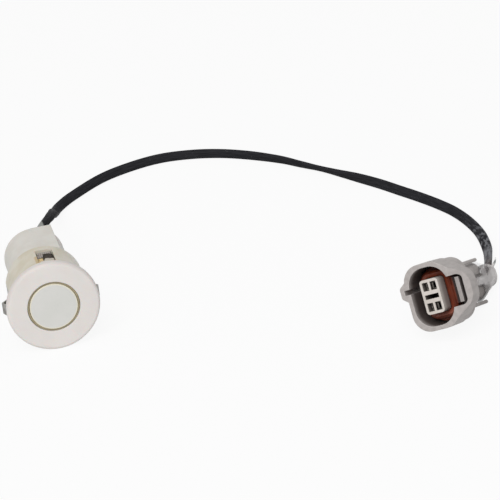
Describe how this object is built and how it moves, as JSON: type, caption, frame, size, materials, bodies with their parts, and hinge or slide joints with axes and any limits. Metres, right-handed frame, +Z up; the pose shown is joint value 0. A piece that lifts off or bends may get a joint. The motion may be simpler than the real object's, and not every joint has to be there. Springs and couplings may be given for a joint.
{
  "type": "parking sensor",
  "caption": "Round flush-mount ultrasonic parking sensor with spring clips, a short flat cable and a sealed plug with a latch pocket.",
  "frame": {"origin": "on the sensor's axis, at the back face of the flange, where it meets the panel", "axes": "+Y along the sensor's axis from its face into the panel, +Z up, +X to the right of someone who looks at the face"},
  "size_m": [0.1422, 0.1741, 0.026],
  "materials": {
    "white_plastic": "satin moulded plastic",
    "cream_plastic": "satin moulded plastic",
    "spring_steel": "plain spring steel",
    "painted_cup": "satin paint on drawn aluminium",
    "tan_rubber": "matt silicone rubber",
    "black_foam": "matt foam",
    "ceramic": "silvered ceramic",
    "damping_rubber": "matt rubber",
    "sealant": "set silicone",
    "red_insulation": "wire insulation",
    "black_insulation": "wire insulation",
    "white_insulation": "wire insulation",
    "board": "green board",
    "capacitor": "ceramic chip",
    "dark_rubber": "matt rubber",
    "cable_jacket": "matt black jacket",
    "grey_plastic": "satin moulded plastic",
    "pale_plastic": "satin moulded plastic",
    "red_silicone": "silicone rubber",
    "tinned_brass": "tinned",
    "clear_sleeve": "milky clear sleeve"
  },
  "bodies": {
    "root": {"bezel": "white_plastic", "left_spring_clip": "spring_steel", "right_spring_clip": "spring_steel", "transducer_cup": "painted_cup", "isolation_ring": "tan_rubber", "piezo_disc": "ceramic", "damping_pad": "damping_rubber", "cup_sealant": "sealant", "signal_lead": "red_insulation", "ground_lead": "black_insulation", "terminal_board": "board", "tuning_capacitor": "capacitor", "foam_ring": "black_foam", "sensor_housing": "cream_plastic", "signal_tail": "white_insulation", "ground_tail": "black_insulation", "cable_grommet": "dark_rubber", "cable": "cable_jacket", "plug_housing": "grey_plastic", "front_retainer": "pale_plastic", "mouth_seal": "red_silicone", "upper_terminal": "tinned_brass", "lower_terminal": "tinned_brass", "upper_wire_seal": "red_silicone", "lower_wire_seal": "red_silicone", "upper_wire": "white_insulation", "lower_wire": "black_insulation", "wire_sleeve": "clear_sleeve"}
  },
  "joints": []
}
